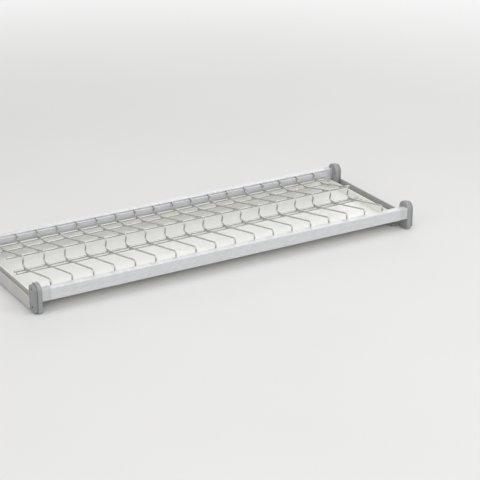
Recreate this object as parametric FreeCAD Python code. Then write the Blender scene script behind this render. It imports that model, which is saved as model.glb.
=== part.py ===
import FreeCAD, Part
import math
import os

# Cabinet dish rack: two aluminium rails between the side walls of a cabinet, a loose rack of bent
# wires between them and a drip tray that slides out to the front.
# Millimetres. +X is to the right, +Y to the back, +Z up. The origin is in the middle of the rack, on
# the plane of the bracket bottoms. The front of the rack faces -Y.

V = FreeCAD.Vector

# Overall sizes
overall_width = 764.0         # between the two cabinet walls
rack_depth = 266.5            # front face of the front rail to back face of the rear rail

# Rails, one aluminium extrusion used twice
rail_height = 21.5
rail_depth = 13.5
rail_wall = 1.6
rail_box_height = 15.5        # closed upper part, above the open recess
rail_foot_depth = 4.0         # small flange along the bottom edge
rail_edge_radius = 0.9
rail_inner_edge_radius = 0.45
gutter_depth = 5.8            # gutter floor below the rail top
gutter_reach = 5.2            # lip's inner side, from the rail's inner face
lip_thickness = 1.3
lip_drop = 2.6                # lip top below the rail top
skirt_height = 8.9            # lip's inner side, from its top to below the gutter floor
skirt_edge_radius = 0.45

# Brackets on the walls
bracket_height = 52.0
bracket_depth = 28.0
bracket_below_rail = 21.0     # bracket bottom below the rail bottom
bracket_proud = 0.8           # bracket front ahead of the rail front
bracket_foot_radius = 3.0
base_thickness = 5.6          # plate on the wall
cover_thickness = 7.8         # cover clipped on the plate
cover_bevel = 1.0
base_inset = 2.2              # the plate is a little smaller than its cover
wall_screw_spacing = 32.0
wall_screw_radius = 2.25
screw_head_radius = 4.3
screw_head_depth = 2.0
head_room_radius = 4.7        # room in the cover for a screw head
head_room_depth = 2.6

# End caps between rail and bracket
cap_length = 15.7
cap_edge_radius = 1.4
plug_length = 18.0            # inside the rail
plug_clearance = 0.15
tenon_depth = 9.0             # front to back
tenon_height = 11.0
tenon_length = 6.5            # into the bracket cover
tenon_clearance = 0.2
socket_extra = 0.4            # bottom of the socket beyond the tenon's end

# Screws that hold each rail to its cap, from below, inside the recess
rail_screw_radius = 1.5
rail_screw_length = 6.0
rail_screw_head_radius = 2.7
rail_screw_head_height = 1.6
rail_screw_from_end = 9.0
rail_screw_clearance = 0.08

# Wire rack
rib_count = 18
rib_wire = 2.8                # wire diameter
long_wire = 4.0
hanger_wire = 3.4
rack_end_gap = 28.0           # cabinet wall to the long wires' ends, with the rack in the middle
wire_overhang = 20.0          # long wires beyond the outermost ribs
rack_offset = -12.0           # the loose rack lies this far towards the left brackets
weld_gap = 0.04               # between two welded wires
rest_gap = 0.3                # under the hanger wires in the gutters

# Rib shape: the valley and the riser are placed from the front rail's inner face, the heel from
# the rear rail's inner face, and heights are above the rail top
crest_height = 9.2
valley_drop = 9.8
valley_start = 97.0
valley_length = 22.0
riser_lean = 6.5              # riser top ahead of its foot
riser_height = 10.0
heel_length = 41.0            # flat rear end, to the rear rail's inner face
heel_clearance = 0.6          # rear leg to the rear rail's lip
lip_clearance = 0.5           # rear hook above the rear rail's lip
corner_radius = 5.0
ramp_end_radius = 14.0
heel_radius = 4.0
hook_radius = 2.0
valley_wire_inset = 2.0       # front valley wire behind the start of the valley
valley_wire_spacing = 10.3
ridge_wire_inset = 28.0       # ridge wire behind the riser top
heel_wire_inset = 5.0         # front heel wire behind the start of the heel
heel_wire_spacing = 23.0

# Tray runners along the side walls
runner_thickness = 2.0
runner_web_height = 22.0
runner_ledge = 28.0           # from the wall inwards
runner_bottom = 1.2           # above the bracket bottoms
runner_tongue = 4.0           # web length inside each bracket base
runner_clearance = 0.15

# Drip tray
tray_wall = 1.8
tray_side_clearance = 1.0     # to the bracket covers
tray_top_clearance = 1.6      # below the rails
tray_front_setback = 8.0      # tray lip behind the front rail's front face
tray_rear_setback = 1.0       # tray behind wall ahead of the rear rail's back face
tray_lip = 10.0               # flat lip along the front, for the fingers
tray_front_slope = 0.5        # rise over run of the front wall
tray_corner_radius = 5.0

# Working values
past = 1.0                    # a cutter runs this far past the face it cuts
tiny = 1e-6

# Places worked out from the sizes above
half_width = overall_width / 2.0
front_face = -rack_depth / 2.0
inner_face = front_face + rail_depth
inner_gap = rack_depth - 2.0 * rail_depth
rail_bottom = bracket_below_rail
rail_top = rail_bottom + rail_height
bracket_thickness = base_thickness + cover_thickness
cover_face = half_width - bracket_thickness
rail_half_length = cover_face - cap_length
bracket_front = front_face - bracket_proud
bracket_middle = bracket_front + bracket_depth / 2.0
bracket_back = bracket_front + bracket_depth
wall_screw_low = (bracket_height - wall_screw_spacing) / 2.0
rail_middle = front_face + rail_depth / 2.0
box_bottom = rail_top - rail_box_height
wire_length = overall_width - 2.0 * rack_end_gap
rib_pitch = (wire_length - 2.0 * wire_overhang) / (rib_count - 1)
riser_foot = valley_start + valley_length
riser_top = riser_foot - riser_lean
heel_start = inner_gap - heel_length


def unit(a, b):
    """Direction from a to b."""
    d = b.sub(a)
    d.normalize()
    return d


def rounded_edges(points, closed=False):
    """Edges through (point, radius) pairs: straight runs joined by tangent arcs."""
    n = len(points)
    starts = []
    ends = []
    arcs = []
    for i, (p, r) in enumerate(points):
        at_tip = not closed and i in (0, n - 1)
        if at_tip or r <= 0.0:
            starts.append(p)
            ends.append(p)
            arcs.append(None)
            continue
        u = unit(p, points[i - 1][0])
        v = unit(p, points[(i + 1) % n][0])
        half = math.acos(max(-1.0, min(1.0, u.dot(v)))) / 2.0
        cut = r / math.tan(half)
        bisector = u.add(v)
        bisector.normalize()
        middle = p.add(bisector.multiply(r / math.sin(half) - r))
        starts.append(p.add(V(u).multiply(cut)))
        ends.append(p.add(V(v).multiply(cut)))
        arcs.append(middle)
    edges = []
    for i in range(n):
        if arcs[i] is not None:
            edges.append(Part.Arc(starts[i], arcs[i], ends[i]).toShape())
        following = (i + 1) % n
        last_open = not closed and i == n - 1
        if not last_open and ends[i].distanceToPoint(starts[following]) > tiny:
            edges.append(Part.LineSegment(ends[i], starts[following]).toShape())
    return edges


def rounded_face(points):
    """Flat face inside a closed outline of (point, radius) pairs."""
    return Part.Face(Part.Wire(rounded_edges(points, closed=True)))


def block(x0, x1, y0, y1, z0, z1):
    """Box between two corners."""
    return Part.makeBox(x1 - x0, y1 - y0, z1 - z0, V(x0, y0, z0))


def mirror_x(shape):
    return shape.mirror(V(0, 0, 0), V(1, 0, 0))


def mirror_y(shape):
    return shape.mirror(V(0, 0, 0), V(0, 1, 0))


def rod_x(x0, x1, y, z, diameter):
    """Straight wire along X."""
    return Part.makeCylinder(diameter / 2.0, x1 - x0, V(x0, y, z), V(1, 0, 0))


def yz(x, y, z, r=0.0):
    """Outline point in a plane of constant x."""
    return (V(x, y, z), r)


def front_rail():
    """Extrusion with a closed upper box, an open recess below it and a gutter on its inner face.

    The gutter's lip hangs down as a skirt on the side of the wires."""
    x = -rail_half_length
    y0 = front_face
    y1 = inner_face
    r = rail_edge_radius
    gutter_floor = rail_top - gutter_depth
    lip_inner = y1 + gutter_reach
    lip_top = rail_top - lip_drop
    skirt_bottom = lip_top - skirt_height
    outline = [
        yz(x, y0, rail_bottom, r),
        yz(x, y0, rail_top, r),
        yz(x, y1, rail_top, rail_inner_edge_radius),
        yz(x, y1, gutter_floor),
        yz(x, lip_inner - lip_thickness, gutter_floor),
        yz(x, lip_inner - lip_thickness, lip_top),
        yz(x, lip_inner, lip_top),
        yz(x, lip_inner, skirt_bottom, skirt_edge_radius),
        yz(x, lip_inner - lip_thickness, skirt_bottom),
        yz(x, lip_inner - lip_thickness, gutter_floor - lip_thickness),
        yz(x, y1, gutter_floor - lip_thickness),
        yz(x, y1, box_bottom),
        yz(x, y0 + rail_wall, box_bottom),
        yz(x, y0 + rail_wall, rail_bottom + rail_wall),
        yz(x, y0 + rail_foot_depth, rail_bottom + rail_wall),
        yz(x, y0 + rail_foot_depth, rail_bottom),
    ]
    along = V(2.0 * rail_half_length, 0, 0)
    body = rounded_face(outline).extrude(along)
    cavity = block(
        -rail_half_length - past,
        rail_half_length + past,
        y0 + rail_wall,
        y1 - rail_wall,
        box_bottom + rail_wall,
        rail_top - rail_wall,
    )
    body = body.cut(cavity)
    hole_radius = rail_screw_radius + rail_screw_clearance
    for side in (-1, 1):
        x_hole = side * (rail_half_length - rail_screw_from_end)
        start = V(x_hole, rail_middle, box_bottom - past)
        hole = Part.makeCylinder(hole_radius, rail_wall + 2.0 * past, start, V(0, 0, 1))
        body = body.cut(hole)
    return body


def right_cap():
    """End cap of the front rail's right end: a block with a plug and a tenon."""
    r = cap_edge_radius
    outline = [
        yz(rail_half_length, front_face, rail_bottom, r),
        yz(rail_half_length, front_face, rail_top, r),
        yz(rail_half_length, inner_face, rail_top, r),
        yz(rail_half_length, inner_face, rail_bottom, r),
    ]
    cap = rounded_face(outline).extrude(V(cap_length, 0, 0))
    inset = rail_wall + plug_clearance
    plug = block(
        rail_half_length - plug_length,
        rail_half_length,
        front_face + inset,
        inner_face - inset,
        box_bottom + inset,
        rail_top - inset,
    )
    rail_centre = rail_bottom + rail_height / 2.0
    tenon = block(
        cover_face,
        cover_face + tenon_length,
        rail_middle - tenon_depth / 2.0,
        rail_middle + tenon_depth / 2.0,
        rail_centre - tenon_height / 2.0,
        rail_centre + tenon_height / 2.0,
    )
    cap = cap.fuse([plug, tenon]).removeSplitter()
    x_hole = rail_half_length - rail_screw_from_end
    depth = rail_screw_length + rail_wall
    start = V(x_hole, rail_middle, box_bottom)
    hole = Part.makeCylinder(rail_screw_radius + rail_screw_clearance, depth, start, V(0, 0, 1))
    return cap.cut(hole)


def bracket_outline(x, inset):
    """Side view of a bracket: straight sides, a half-round top and small radii at the bottom."""
    radius = bracket_depth / 2.0 - inset
    y0 = bracket_middle - radius
    y1 = bracket_middle + radius
    top = bracket_height - inset
    bottom = inset
    foot = bracket_foot_radius
    centre_z = top - radius
    arc = Part.Arc(V(x, y0, centre_z), V(x, bracket_middle, top), V(x, y1, centre_z)).toShape()
    left = V(x, y0, centre_z)
    right = V(x, y1, centre_z)
    lower = rounded_edges([(right, 0.0), (V(x, y1, bottom), foot), (V(x, y0, bottom), foot), (left, 0.0)])
    return Part.Face(Part.Wire([arc] + lower))


def wall_screw_heights():
    return (wall_screw_low, wall_screw_low + wall_screw_spacing)


def right_base():
    """Plate on the wall with two countersunk screw holes and a slot for the runner's tongue."""
    x0 = half_width - base_thickness
    plate = bracket_outline(x0, base_inset).extrude(V(base_thickness, 0, 0))
    for z in wall_screw_heights():
        hole = rod_x(x0 - past, half_width + past, bracket_middle, z, 2.0 * wall_screw_radius)
        cone = Part.makeCone(
            screw_head_radius,
            wall_screw_radius,
            screw_head_depth,
            V(x0, bracket_middle, z),
            V(1, 0, 0),
        )
        plate = plate.cut(hole).cut(cone)
    c = runner_clearance
    slot = block(
        half_width - runner_thickness - c,
        half_width + past,
        bracket_back - runner_tongue - base_inset - c,
        bracket_back + past,
        -past,
        runner_bottom + runner_web_height + c,
    )
    return plate.cut(slot)


def right_cover():
    """Cover over the plate, with the socket for the rail cap and room for the screw heads."""
    x1 = cover_face + cover_thickness
    cover = bracket_outline(cover_face, 0.0).extrude(V(cover_thickness, 0, 0))
    rim = []
    for edge in cover.Edges:
        on_face = all(abs(v.X - cover_face) < tiny for v in edge.Vertexes)
        if on_face:
            rim.append(edge)
    cover = cover.makeChamfer(cover_bevel, rim)
    c = tenon_clearance
    rail_centre = rail_bottom + rail_height / 2.0
    socket = block(
        cover_face - past,
        cover_face + tenon_length + socket_extra,
        rail_middle - tenon_depth / 2.0 - c,
        rail_middle + tenon_depth / 2.0 + c,
        rail_centre - tenon_height / 2.0 - c,
        rail_centre + tenon_height / 2.0 + c,
    )
    cover = cover.cut(socket)
    for z in wall_screw_heights():
        room = rod_x(x1 - head_room_depth, x1 + past, bracket_middle, z, 2.0 * head_room_radius)
        cover = cover.cut(room)
    return cover


def right_runner():
    """Angle along the right wall: a web on the wall and a ledge that carries the tray."""
    t = runner_thickness
    tongue_end = bracket_back - runner_tongue
    web = block(
        half_width - t,
        half_width,
        tongue_end,
        -tongue_end,
        runner_bottom,
        runner_bottom + runner_web_height,
    )
    ledge_end = bracket_back + runner_clearance
    ledge = block(
        half_width - runner_ledge,
        half_width,
        ledge_end,
        -ledge_end,
        runner_bottom,
        runner_bottom + t,
    )
    return web.fuse(ledge).removeSplitter()


def drip_tray():
    """Shallow tray: a flat lip and a slanted wall at the front, upright walls at the sides and back."""
    t = tray_wall
    half = cover_face - tray_side_clearance
    floor = runner_bottom + runner_thickness
    rim = rail_bottom - tray_top_clearance
    y_lip = front_face + tray_front_setback
    y_back = -front_face - tray_rear_setback
    y_turn = y_lip + tray_lip
    r = tray_corner_radius
    steep = math.hypot(1.0, tray_front_slope)
    y_foot = y_turn + (rim - t - floor) / tray_front_slope
    outer = [
        yz(-half, y_lip, rim),
        yz(-half, y_lip, rim - t),
        yz(-half, y_turn, rim - t),
        yz(-half, y_foot, floor, 2.0 * r),
        yz(-half, y_back, floor, r),
        yz(-half, y_back, rim),
    ]
    shift = (t * steep - t) / tray_front_slope
    inner = [
        yz(-half + t, y_turn + shift, rim + past),
        yz(-half + t, y_turn + shift, rim),
        yz(-half + t, y_foot + shift, floor + t, 2.0 * r - t),
        yz(-half + t, y_back - t, floor + t, r - t),
        yz(-half + t, y_back - t, rim + past),
    ]
    body = rounded_face(outer).extrude(V(2.0 * half, 0, 0))
    hollow = rounded_face(inner).extrude(V(2.0 * (half - t), 0, 0))
    return body.cut(hollow)


def hanger_place():
    """Distance from a rail's inner face, and height, of the hanger wire in the gutter."""
    y = (gutter_reach - lip_thickness) / 2.0
    z = rail_top - gutter_depth + hanger_wire / 2.0 + rest_gap
    return y, z


def rib_points(x):
    """Centre line of one rib, from the front hanger wire to the rear hanger wire."""
    hanger_y, hanger_z = hanger_place()
    above_hanger = hanger_wire / 2.0 + weld_gap
    low = rail_top - valley_drop
    leg = inner_gap - gutter_reach - heel_clearance - rib_wire / 2.0
    over_lip = rail_top - lip_drop + lip_clearance + rib_wire / 2.0
    over_wire = hanger_z + above_hanger + rib_wire / 2.0
    hook = max(over_lip, over_wire)
    shape = (
        (hanger_y, hanger_z + above_hanger, 0.0),
        (hanger_y, rail_top + crest_height, corner_radius),
        (valley_start, low, ramp_end_radius),
        (riser_foot, low, corner_radius),
        (riser_top, rail_top + riser_height, corner_radius),
        (heel_start, low, ramp_end_radius),
        (leg, low, heel_radius),
        (leg, hook, hook_radius),
        (inner_gap - hanger_y, hook, 0.0),
    )
    return [yz(x, inner_face + y, z, r) for y, z, r in shape]


def rib(x):
    """One bent wire."""
    path = Part.Wire(rounded_edges(rib_points(x)))
    start = path.OrderedVertexes[0].Point
    circle = Part.Wire(Part.makeCircle(rib_wire / 2.0, start, V(0, 0, 1)))
    return path.makePipeShell([circle], True, False)


def ramp_height(y):
    """Height of the rib's centre line on the rear ramp, y behind the front rail's inner face."""
    top = rail_top + riser_height
    low = rail_top - valley_drop
    return top + (low - top) * (y - riser_top) / (heel_start - riser_top)


def wires_along():
    """Straight wires under the ribs and in the gutters: node name and (y, z, diameter)."""
    below = (rib_wire + long_wire) / 2.0 + weld_gap
    low = rail_top - valley_drop - below
    tilt = (riser_height + valley_drop) / (heel_start - riser_top)
    lean = math.hypot(1.0, tilt)
    hanger_y, hanger_z = hanger_place()
    ridge_at = riser_top + ridge_wire_inset
    ridge_y = ridge_at - below * tilt / lean
    ridge_z = ramp_height(ridge_at) - below / lean
    valley_front = valley_start + valley_wire_inset
    heel_front = heel_start + heel_wire_inset
    return {
        "front_hanger_wire": (hanger_y, hanger_z, hanger_wire),
        "rear_hanger_wire": (inner_gap - hanger_y, hanger_z, hanger_wire),
        "valley_wire_front": (valley_front, low, long_wire),
        "valley_wire_rear": (valley_front + valley_wire_spacing, low, long_wire),
        "ridge_wire": (ridge_y, ridge_z, long_wire),
        "heel_wire_front": (heel_front, low, long_wire),
        "heel_wire_rear": (heel_front + heel_wire_spacing, low, long_wire),
    }


def rail_screw():
    """Pan-head screw at the front rail's right end, pointing up into the cap's plug."""
    x = rail_half_length - rail_screw_from_end
    shank = Part.makeCylinder(
        rail_screw_radius,
        rail_screw_length,
        V(x, rail_middle, box_bottom),
        V(0, 0, 1),
    )
    head_base = V(x, rail_middle, box_bottom - rail_screw_head_height)
    head = Part.makeCylinder(rail_screw_head_radius, rail_screw_head_height, head_base, V(0, 0, 1))
    return shank.fuse(head).removeSplitter()


def four_corners(name, right_front, parts):
    """Add a piece at all four corners, mirrored from the front right one."""
    parts[name + "_front_right"] = right_front
    parts[name + "_front_left"] = mirror_x(right_front)
    parts[name + "_rear_right"] = mirror_y(right_front)
    parts[name + "_rear_left"] = mirror_x(mirror_y(right_front))


def build():
    parts = {}
    rail = front_rail()
    parts["front_rail"] = rail
    parts["rear_rail"] = mirror_y(rail)
    four_corners("rail_cap", right_cap(), parts)
    four_corners("bracket_base", right_base(), parts)
    four_corners("bracket_cover", right_cover(), parts)
    runner = right_runner()
    parts["tray_runner_right"] = runner
    parts["tray_runner_left"] = mirror_x(runner)
    parts["drip_tray"] = drip_tray()
    wire_start = rack_offset - wire_length / 2.0
    for i in range(rib_count):
        parts["rib_%02d" % (i + 1)] = rib(wire_start + wire_overhang + i * rib_pitch)
    for name, (y, z, diameter) in wires_along().items():
        parts[name] = rod_x(wire_start, wire_start + wire_length, inner_face + y, z, diameter)
    screws = {}
    four_corners("screw", rail_screw(), screws)
    parts["rail_screws"] = Part.makeCompound(list(screws.values()))
    return parts


os.makedirs("parts", exist_ok=True)
for node, shape in build().items():
    shape.exportStep("parts/%s.step" % node)
    box = shape.BoundBox
    print(
        "%-22s solids %d valid %s volume %9.1f  x %7.1f %7.1f  y %7.1f %7.1f  z %6.2f %6.2f"
        % (node, len(shape.Solids), shape.isValid(), shape.Volume, box.XMin, box.XMax, box.YMin,
           box.YMax, box.ZMin, box.ZMax)
    )
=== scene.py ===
import math
import random

import bmesh
import bpy
from mathutils import Matrix, Vector


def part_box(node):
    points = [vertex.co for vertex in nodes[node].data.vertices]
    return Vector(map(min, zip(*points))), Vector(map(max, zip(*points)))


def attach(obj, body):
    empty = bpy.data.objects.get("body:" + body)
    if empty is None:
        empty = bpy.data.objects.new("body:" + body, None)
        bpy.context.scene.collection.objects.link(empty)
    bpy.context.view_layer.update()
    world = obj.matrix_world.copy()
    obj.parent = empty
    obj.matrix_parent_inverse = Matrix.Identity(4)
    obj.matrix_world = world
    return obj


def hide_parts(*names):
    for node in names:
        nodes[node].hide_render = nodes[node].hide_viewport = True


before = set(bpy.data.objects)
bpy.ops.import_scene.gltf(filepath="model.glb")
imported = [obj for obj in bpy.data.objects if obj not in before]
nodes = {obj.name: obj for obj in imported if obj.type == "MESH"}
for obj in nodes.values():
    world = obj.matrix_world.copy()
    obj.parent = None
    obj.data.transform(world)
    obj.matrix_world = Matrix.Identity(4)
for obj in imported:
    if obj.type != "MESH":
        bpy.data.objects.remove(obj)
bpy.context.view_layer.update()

# Camera, fitted to the edges and wires in the photograph
camera_place = (-1.34417, -2.42841, 1.1384)
camera_turn = math.radians(30.51)      # towards +X from straight back
camera_drop = math.radians(22.16)      # below the horizon
camera_lens = 123.54                   # millimetres, as is the sensor
camera_sensor = 36.0
camera_near = 0.05
camera_far = 60.0

# Sizes shared with the solids, in metres, and a slope
ramp_slope = 0.230                     # fall of the ribs behind the riser, as a share of their run
screw_head_radius = 0.0027
screw_head_depth = 0.0016
screw_shank_radius = 0.0015

# The long wires that the ribs are welded to, and the ribs' slope there
welded_wires = {
    "valley_wire_front": 0.0,
    "valley_wire_rear": 0.0,
    "heel_wire_front": 0.0,
    "heel_wire_rear": 0.0,
    "ridge_wire": ramp_slope,
    "front_hanger_wire": 0.0,
    "rear_hanger_wire": 0.0,
}

# Weld beads, in metres or as shares
weld_seed = 7
weld_half_width = 0.0015
weld_half_length = 0.0019
weld_half_height = 0.0008
weld_spread = (0.9, 1.15)              # of the width and length
weld_height_spread = (0.9, 1.1)        # of the height
weld_turn = 0.2                        # radians to either side
weld_unevenness = (0.96, 1.05)         # of each point's distance from the bead's middle
weld_detail = 2                        # subdivisions

# Screws, in metres or as shares
recess_half_width = 0.00042
recess_half_length = 0.00150
recess_depth_share = 0.62              # of the head's depth
recess_wall_share = 0.4                # of the recess's half width, for its sloping sides
dome_fall_share = 0.42                 # of the head's depth, lost towards its rim
rim_start_share = 0.93                 # of the head's radius
rim_height_share = 0.55                # of the dome's height, left at the rim
thread_pitch = 0.0008
thread_root_share = 0.8                # of the shank's radius
screw_tip_share = 0.5                  # of the shank's radius
screw_first_turn = 0.35                # radians
screw_turn_step = 0.8                  # radians from screw to screw
head_rings = 26
screw_spokes = 48

# Colours, linear
rail_color = (0.648, 0.656, 0.671)
cover_color = (0.318, 0.323, 0.326)
base_color = (0.26, 0.264, 0.267)
cap_color = (0.545, 0.548, 0.55)
runner_color = (0.485, 0.48, 0.465)
wire_color = (0.455, 0.452, 0.44)
tray_color = (0.91, 0.914, 0.87)
screw_dark = (0.50, 0.50, 0.51)
screw_pale = (0.62, 0.62, 0.60)
weld_dark = (0.17, 0.165, 0.155)
weld_pale = (0.33, 0.325, 0.31)
floor_color = (0.78, 0.777, 0.771)
white = (1.0, 1.0, 1.0)
warm_white = (1.0, 0.995, 0.985)
cool_white = (0.99, 0.995, 1.0)

# Radii of the edges that the shader rounds, in metres
rail_edge = 0.0003
plastic_edge = 0.0004
wire_edge = 0.0005
tray_edge = 0.0005
edge_samples = 6

# Slope of the short brush marks on the rails
brush_slant = math.radians(21.0)

# Floor, in metres, and world
floor_size = 60.0
floor_gap = 0.0004                     # below the lowest piece
fade_start = 0.7                       # from the middle to where the floor begins to turn white
fade_end = 2.6                         # and to where it is all white
world_light = 0.52                     # strength of the white world as a light
world_seen = 1.0                       # and as a background

# Sockets of Blender's colour mix
mix_first = 6
mix_second = 7
mix_result = 2


# Node helpers
class Nodes:
    """A short way to write a material's nodes."""

    def __init__(self, tree):
        self.tree = tree

    def add(self, kind, **values):
        node = self.tree.nodes.new(kind)
        for key, value in values.items():
            setattr(node, key, value)
        return node

    def put(self, node, name, value):
        """Set a socket to a value or link it to another socket."""
        socket = node.inputs[name]
        if isinstance(value, bpy.types.NodeSocket):
            self.tree.links.new(value, socket)
        else:
            socket.default_value = value

    def place(self):
        """A point's coordinates on its object, in metres."""
        return self.add("ShaderNodeTexCoord").outputs["Object"]

    def moved(self, vector, name, value):
        """A vector turned or stretched, as the mapping's socket of that name says."""
        node = self.add("ShaderNodeMapping")
        self.put(node, "Vector", vector)
        self.put(node, name, value)
        return node.outputs["Vector"]

    def noise(self, scale, detail, tilt=0.0):
        """Noise with this many features per metre along X, Y and Z, tilted about Y."""
        tilted = self.moved(self.place(), "Rotation", (0.0, tilt, 0.0))
        node = self.add("ShaderNodeTexNoise")
        self.put(node, "Vector", self.moved(tilted, "Scale", scale))
        self.put(node, "Scale", 1.0)
        self.put(node, "Detail", detail)
        return node.outputs["Fac"]

    def even_noise(self, scale, detail):
        """Noise with the same number of features per metre in all directions."""
        return self.noise((scale, scale, scale), detail)

    def spread(self, value, low, high, start=0.3, end=0.7):
        """Map the values from start to end on a range."""
        node = self.add("ShaderNodeMapRange")
        self.put(node, "Value", value)
        self.put(node, "From Min", start)
        self.put(node, "From Max", end)
        self.put(node, "To Min", low)
        self.put(node, "To Max", high)
        return node.outputs["Result"]

    def math(self, operation, first, second):
        node = self.add("ShaderNodeMath", operation=operation)
        self.put(node, 0, first)
        self.put(node, 1, second)
        return node.outputs["Value"]

    def total(self, first, *others):
        """The sum of several values."""
        result = first
        for value in others:
            result = self.math("ADD", result, value)
        return result

    def tint(self, color, factor):
        """A colour multiplied by a number."""
        node = self.add("ShaderNodeVectorMath", operation="SCALE")
        self.put(node, "Vector", color)
        self.put(node, "Scale", factor)
        return node.outputs["Vector"]

    def mix(self, factor, first, second):
        """A blend of two colours."""
        node = self.add("ShaderNodeMix", data_type="RGBA")
        self.put(node, "Factor", factor)
        self.put(node, mix_first, (*first, 1.0))
        self.put(node, mix_second, (*second, 1.0))
        return node.outputs[mix_result]

    def bump(self, height, strength, depth, edge=0.0):
        """Surface relief, over edges rounded by the given radius."""
        node = self.add("ShaderNodeBump")
        self.put(node, "Height", height)
        self.put(node, "Strength", strength)
        self.put(node, "Distance", depth)
        if edge:
            rounding = self.add("ShaderNodeBevel", samples=edge_samples)
            self.put(rounding, "Radius", edge)
            self.put(node, "Normal", rounding.outputs["Normal"])
        return node.outputs["Normal"]

    def seen_rays(self):
        """1 where the camera, a mirror-like face or a clear one looks, and 0 for light on its way."""
        rays = self.add("ShaderNodeLightPath")
        seen = self.math("MAXIMUM", rays.outputs["Is Camera Ray"], rays.outputs["Is Glossy Ray"])
        return self.math("MAXIMUM", seen, rays.outputs["Is Transmission Ray"])


# Materials
def new_material(name):
    """A material, its nodes and its main shader."""
    material = bpy.data.materials.new(name)
    material.use_nodes = True
    tree = material.node_tree
    return material, Nodes(tree), tree.nodes["Principled BSDF"]


def brushed_aluminium():
    """Anodised aluminium: long hairlines along the rail and short slanting ones across them."""
    material, n, shader = new_material("rail_aluminium")
    fine = n.noise((14.0, 2600.0, 2600.0), detail=2.0)
    wide = n.noise((5.0, 420.0, 420.0), detail=2.0)
    slant = n.noise((70.0, 60.0, 520.0), detail=2.0, tilt=brush_slant)
    cloud = n.even_noise(9.0, detail=2.0)
    tone = n.total(
        n.spread(fine, -0.035, 0.035),
        n.spread(wide, 0.965, 1.025),
        n.spread(slant, -0.095, 0.09),
        n.spread(cloud, -0.012, 0.012),
    )
    height = n.total(fine, n.math("MULTIPLY", slant, 0.6))
    n.put(shader, "Base Color", n.tint(rail_color, tone))
    n.put(shader, "Metallic", 0.3)
    n.put(shader, "Roughness", n.spread(wide, 0.38, 0.50))
    n.put(shader, "Normal", n.bump(height, strength=0.35, depth=0.00005, edge=rail_edge))
    return material


def moulded_plastic(name, color, rough, grain=0.25):
    """Moulded plastic: a fine eroded grain and faint flow marks."""
    material, n, shader = new_material(name)
    pebble = n.even_noise(1500.0, detail=3.0)
    cloud = n.even_noise(28.0, detail=3.0)
    flow = n.noise((60.0, 60.0, 12.0), detail=2.0)
    tone = n.total(
        n.spread(cloud, 0.965, 1.03),
        n.spread(flow, -0.02, 0.02),
        n.spread(pebble, -0.03, 0.03),
    )
    n.put(shader, "Base Color", n.tint(color, tone))
    n.put(shader, "Roughness", n.spread(cloud, rough - 0.05, rough + 0.06))
    n.put(shader, "Specular IOR Level", 0.42)
    n.put(shader, "Normal", n.bump(pebble, strength=grain, depth=0.00012, edge=plastic_edge))
    return material


def wire_steel():
    """Drawn stainless wire: satin, with fine marks from drawing and bending."""
    material, n, shader = new_material("wire_steel")
    marks = n.even_noise(900.0, detail=3.0)
    cloud = n.even_noise(55.0, detail=3.0)
    tone = n.total(n.spread(cloud, 0.93, 1.05), n.spread(marks, -0.05, 0.05))
    n.put(shader, "Base Color", n.tint(wire_color, tone))
    n.put(shader, "Metallic", 1.0)
    n.put(shader, "Roughness", n.spread(marks, 0.38, 0.52))
    n.put(shader, "Normal", n.bump(marks, strength=0.2, depth=0.00004, edge=wire_edge))
    return material


def screw_steel():
    """Bright plated steel with faint stains."""
    material, n, shader = new_material("screw_steel")
    cloud = n.even_noise(600.0, detail=3.0)
    n.put(shader, "Base Color", n.mix(n.spread(cloud, 0.0, 1.0), screw_dark, screw_pale))
    n.put(shader, "Metallic", 1.0)
    n.put(shader, "Roughness", n.spread(cloud, 0.22, 0.38))
    n.put(shader, "Normal", n.bump(cloud, strength=0.15, depth=0.00005))
    return material


def weld_steel():
    """Spot welds: a little darker and rougher than the wires."""
    material, n, shader = new_material("weld_steel")
    cloud = n.even_noise(1400.0, detail=4.0)
    n.put(shader, "Base Color", n.mix(n.spread(cloud, 0.0, 1.0), weld_dark, weld_pale))
    n.put(shader, "Metallic", 0.9)
    n.put(shader, "Roughness", n.spread(cloud, 0.34, 0.5))
    n.put(shader, "Normal", n.bump(cloud, strength=0.4, depth=0.0001))
    return material


def tray_plastic():
    """Pale, slightly see-through plastic with a soft satin face."""
    material, n, shader = new_material("tray_plastic")
    grain = n.even_noise(1100.0, detail=3.0)
    cloud = n.even_noise(16.0, detail=3.0)
    tone = n.total(n.spread(cloud, 0.985, 1.01), n.spread(grain, -0.012, 0.012))
    n.put(shader, "Base Color", n.tint(tray_color, tone))
    n.put(shader, "Roughness", n.spread(cloud, 0.30, 0.42))
    n.put(shader, "Specular IOR Level", 0.4)
    n.put(shader, "Subsurface Weight", 0.12)
    n.put(shader, "Subsurface Radius", (0.002, 0.002, 0.0015))
    n.put(shader, "Subsurface Scale", 1.0)
    n.put(shader, "Normal", n.bump(grain, strength=0.12, depth=0.0001, edge=tray_edge))
    return material


# The solids' finishes
def dress_solids(screw):
    """Give each solid the material that the start of its name asks for. All others are wires."""
    rail = brushed_aluminium()
    looks = {
        "front_rail": rail,
        "rear_rail": rail,
        "bracket_cover": moulded_plastic("cover_plastic", cover_color, rough=0.42),
        "bracket_base": moulded_plastic("base_plastic", base_color, rough=0.48),
        "rail_cap": moulded_plastic("cap_plastic", cap_color, rough=0.40, grain=0.18),
        "tray_runner": moulded_plastic("runner_plastic", runner_color, rough=0.5, grain=0.12),
        "rail_screws": screw,
        "drip_tray": tray_plastic(),
    }
    wire = wire_steel()
    for name, node in nodes.items():
        fitting = [look for start, look in looks.items() if name.startswith(start)]
        node.data.materials.clear()
        node.data.materials.append(fitting[0] if fitting else wire)


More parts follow.
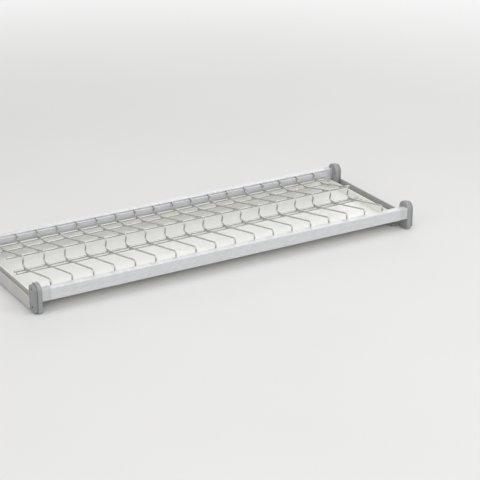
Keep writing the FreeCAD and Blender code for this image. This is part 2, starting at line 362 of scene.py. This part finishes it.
# Small details
def add_mesh(name, bm, material):
    """A smooth object made from the mesh being edited."""
    mesh = bpy.data.meshes.new(name)
    bm.to_mesh(mesh)
    bm.free()
    mesh.materials.append(material)
    for face in mesh.polygons:
        face.use_smooth = True
    obj = bpy.data.objects.new(name, mesh)
    bpy.context.scene.collection.objects.link(obj)
    return obj


def weld_place(rib, wire, slope):
    """The point where a rib lies on a long wire, and the rib's lean there."""
    rib_low, rib_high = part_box(rib)
    low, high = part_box(wire)
    middle = (low + high) / 2
    radius = (high.z - low.z) / 2
    lean = math.atan(slope)
    y = middle.y + radius * math.sin(lean)
    z = middle.z + radius * math.cos(lean)
    return Vector(((rib_low.x + rib_high.x) / 2, y, z)), lean


def add_welds(material):
    """A small flattened bead at every crossing of a rib and a long wire."""
    draw = random.Random(weld_seed)
    bm = bmesh.new()
    ribs = sorted(name for name in nodes if name.startswith("rib_"))
    for rib in ribs:
        for wire, slope in welded_wires.items():
            touch, lean = weld_place(rib, wire, slope)
            half_width = weld_half_width * draw.uniform(*weld_spread)
            half_length = weld_half_length * draw.uniform(*weld_spread)
            half_height = weld_half_height * draw.uniform(*weld_height_spread)
            place = (
                Matrix.Translation(touch)
                @ Matrix.Rotation(-lean, 4, "X")
                @ Matrix.Rotation(draw.uniform(-weld_turn, weld_turn), 4, "Z")
                @ Matrix.Diagonal((half_width, half_length, half_height, 1.0))
            )
            bead = bmesh.ops.create_icosphere(bm, subdivisions=weld_detail, radius=1.0)["verts"]
            for vertex in bead:
                vertex.co *= draw.uniform(*weld_unevenness)
            bmesh.ops.transform(bm, matrix=place, verts=bead)
    welds = add_mesh("weld_beads", bm, material)
    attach(welds, "rack")


def screw_head_height(x, y):
    """How far a pan head stands out from its seat at a point: a dome with a cross recess."""
    share = min(1.0, math.hypot(x, y) / screw_head_radius)
    height = screw_head_depth * (1.0 - dome_fall_share * share ** 4)
    if share > rim_start_share:
        left = (1.0 - share) / (1.0 - rim_start_share)
        height *= rim_height_share + (1.0 - rim_height_share) * left
    for across, along in ((abs(x), abs(y)), (abs(y), abs(x))):
        if across < recess_half_width and along < recess_half_length:
            inside = min(recess_half_width - across, recess_half_length - along)
            sunk = min(1.0, inside / (recess_half_width * recess_wall_share))
            height = min(height, screw_head_depth * (1.0 - recess_depth_share * sunk))
    return height


def screw_ring(bm, axis, turn, radius, z_at):
    """A ring of vertices round a screw's axis. z_at gives their height from the unturned x and y."""
    ring = []
    for spoke in range(screw_spokes):
        angle = 2 * math.pi * spoke / screw_spokes
        z = z_at(radius * math.cos(angle), radius * math.sin(angle))
        x = axis[0] + radius * math.cos(angle + turn)
        y = axis[1] + radius * math.sin(angle + turn)
        ring.append(bm.verts.new((x, y, z)))
    return ring


def join_rings(bm, inner, outer):
    """A band of faces between two rings."""
    for spoke in range(screw_spokes):
        after = (spoke + 1) % screw_spokes
        bm.faces.new((inner[spoke], inner[after], outer[after], outer[spoke]))


def shank_profile(seat, tip):
    """Radii and heights from the head's rim along the thread to the tip."""
    profile = [(screw_head_radius, seat), (screw_shank_radius, seat)]
    z = seat
    while z < tip - thread_pitch:
        profile.append((screw_shank_radius * thread_root_share, z + thread_pitch / 2))
        z += thread_pitch
        profile.append((screw_shank_radius, z))
    profile.append((screw_shank_radius * screw_tip_share, tip))
    return profile


def add_screw(bm, axis, turn, seat, tip):
    """One screw with its head below the seat and its thread above it."""
    def head_z(x, y):
        return seat - screw_head_height(x, y)

    rings = []
    for step in range(1, head_rings + 1):
        radius = screw_head_radius * step / head_rings
        rings.append(screw_ring(bm, axis, turn, radius, head_z))
    for radius, z in shank_profile(seat, tip):
        rings.append(screw_ring(bm, axis, turn, radius, lambda x, y: z))
    for inner, outer in zip(rings, rings[1:]):
        join_rings(bm, inner, outer)
    middle = bm.verts.new((*axis, head_z(0.0, 0.0)))
    for spoke in range(screw_spokes):
        bm.faces.new((middle, rings[0][(spoke + 1) % screw_spokes], rings[0][spoke]))
    bm.faces.new(rings[-1])


def add_screws(material):
    """Pan-head screws with a cross recess and a threaded shank, in the rails' recesses."""
    bm = bmesh.new()
    low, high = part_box("rail_screws")
    seat = low.z + screw_head_depth
    x_far = high.x - screw_head_radius
    y_far = high.y - screw_head_radius
    for x_side in (-1, 1):
        for y_side in (-1, 1):
            turn = screw_first_turn + screw_turn_step * (x_side + 2 * y_side)
            add_screw(bm, (x_side * x_far, y_side * y_far), turn, seat, high.z)
    bmesh.ops.recalc_face_normals(bm, faces=bm.faces)
    screws = add_mesh("rail_screws_detailed", bm, material)
    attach(screws, "frame")
    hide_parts("rail_screws")


# Stage, lamps and camera
def add_floor():
    """A pale floor that takes the shadow near the object and fades to white further out."""
    bpy.ops.mesh.primitive_plane_add(size=floor_size, location=(0.0, 0.0, -floor_gap))
    floor = bpy.context.object
    floor.name = "floor"
    material, n, shader = new_material("floor_paint")
    cloud = n.even_noise(3.0, detail=3.0)
    n.put(shader, "Base Color", n.tint(floor_color, n.spread(cloud, 0.99, 1.01)))
    n.put(shader, "Roughness", 0.7)
    n.put(shader, "Specular IOR Level", 0.2)
    reach = n.add("ShaderNodeVectorMath", operation="LENGTH")
    n.put(reach, "Vector", n.place())
    far = n.add("ShaderNodeMapRange", interpolation_type="SMOOTHSTEP")
    n.put(far, "Value", reach.outputs["Value"])
    n.put(far, "From Min", fade_start)
    n.put(far, "From Max", fade_end)
    glow = n.add("ShaderNodeEmission")
    n.put(glow, "Color", (*white, 1.0))
    blend = n.add("ShaderNodeMixShader")
    n.put(blend, 0, n.math("MULTIPLY", far.outputs["Result"], n.seen_rays()))
    n.put(blend, 1, shader.outputs["BSDF"])
    n.put(blend, 2, glow.outputs["Emission"])
    n.put(n.tree.nodes["Material Output"], "Surface", blend.outputs["Shader"])
    floor.data.materials.append(material)


def add_world():
    """White all round where it is seen, and dimmer as a light."""
    world = bpy.data.worlds.new("world")
    world.use_nodes = True
    bpy.context.scene.world = world
    n = Nodes(world.node_tree)
    back = world.node_tree.nodes["Background"]
    n.put(back, "Color", (*white, 1.0))
    n.put(back, "Strength", n.spread(n.seen_rays(), world_light, world_seen, start=0.0, end=1.0))


def add_lamp(name, place, aim_z, size, watts, color=white):
    """A rectangular lamp that faces the object's middle at the given height."""
    data = bpy.data.lights.new(name, "AREA")
    data.shape = "RECTANGLE"
    data.size, data.size_y = size
    data.energy = watts
    data.color = color
    lamp = bpy.data.objects.new(name, data)
    bpy.context.scene.collection.objects.link(lamp)
    lamp.location = place
    aim = Vector((0.0, 0.0, aim_z)) - Vector(place)
    lamp.rotation_euler = aim.to_track_quat("-Z", "Y").to_euler()


def add_lamps():
    add_lamp("light_top", (0.1, -0.2, 2.3), aim_z=0.0, size=(1.8, 1.8), watts=13.0, color=warm_white)
    add_lamp("light_front", (1.3, -2.2, 2.0), aim_z=0.03, size=(2.2, 1.35), watts=33.0, color=cool_white)
    add_lamp("light_left", (-2.4, -0.9, 0.9), aim_z=0.03, size=(2.4, 1.6), watts=18.5)
    add_lamp("light_back", (2.0, 2.5, 1.25), aim_z=0.04, size=(2.6, 1.0), watts=11.0)


def add_camera():
    data = bpy.data.cameras.new("camera")
    data.sensor_width = camera_sensor
    data.lens = camera_lens
    data.clip_start = camera_near
    data.clip_end = camera_far
    camera = bpy.data.objects.new("camera", data)
    bpy.context.scene.collection.objects.link(camera)
    camera.location = camera_place
    camera.rotation_euler = (math.pi / 2 - camera_drop, 0.0, -camera_turn)
    bpy.context.scene.camera = camera


bpy.context.scene.view_settings.view_transform = "Standard"
add_camera()
add_world()
add_floor()
add_lamps()
screw_material = screw_steel()
dress_solids(screw_material)
add_welds(weld_steel())
add_screws(screw_material)
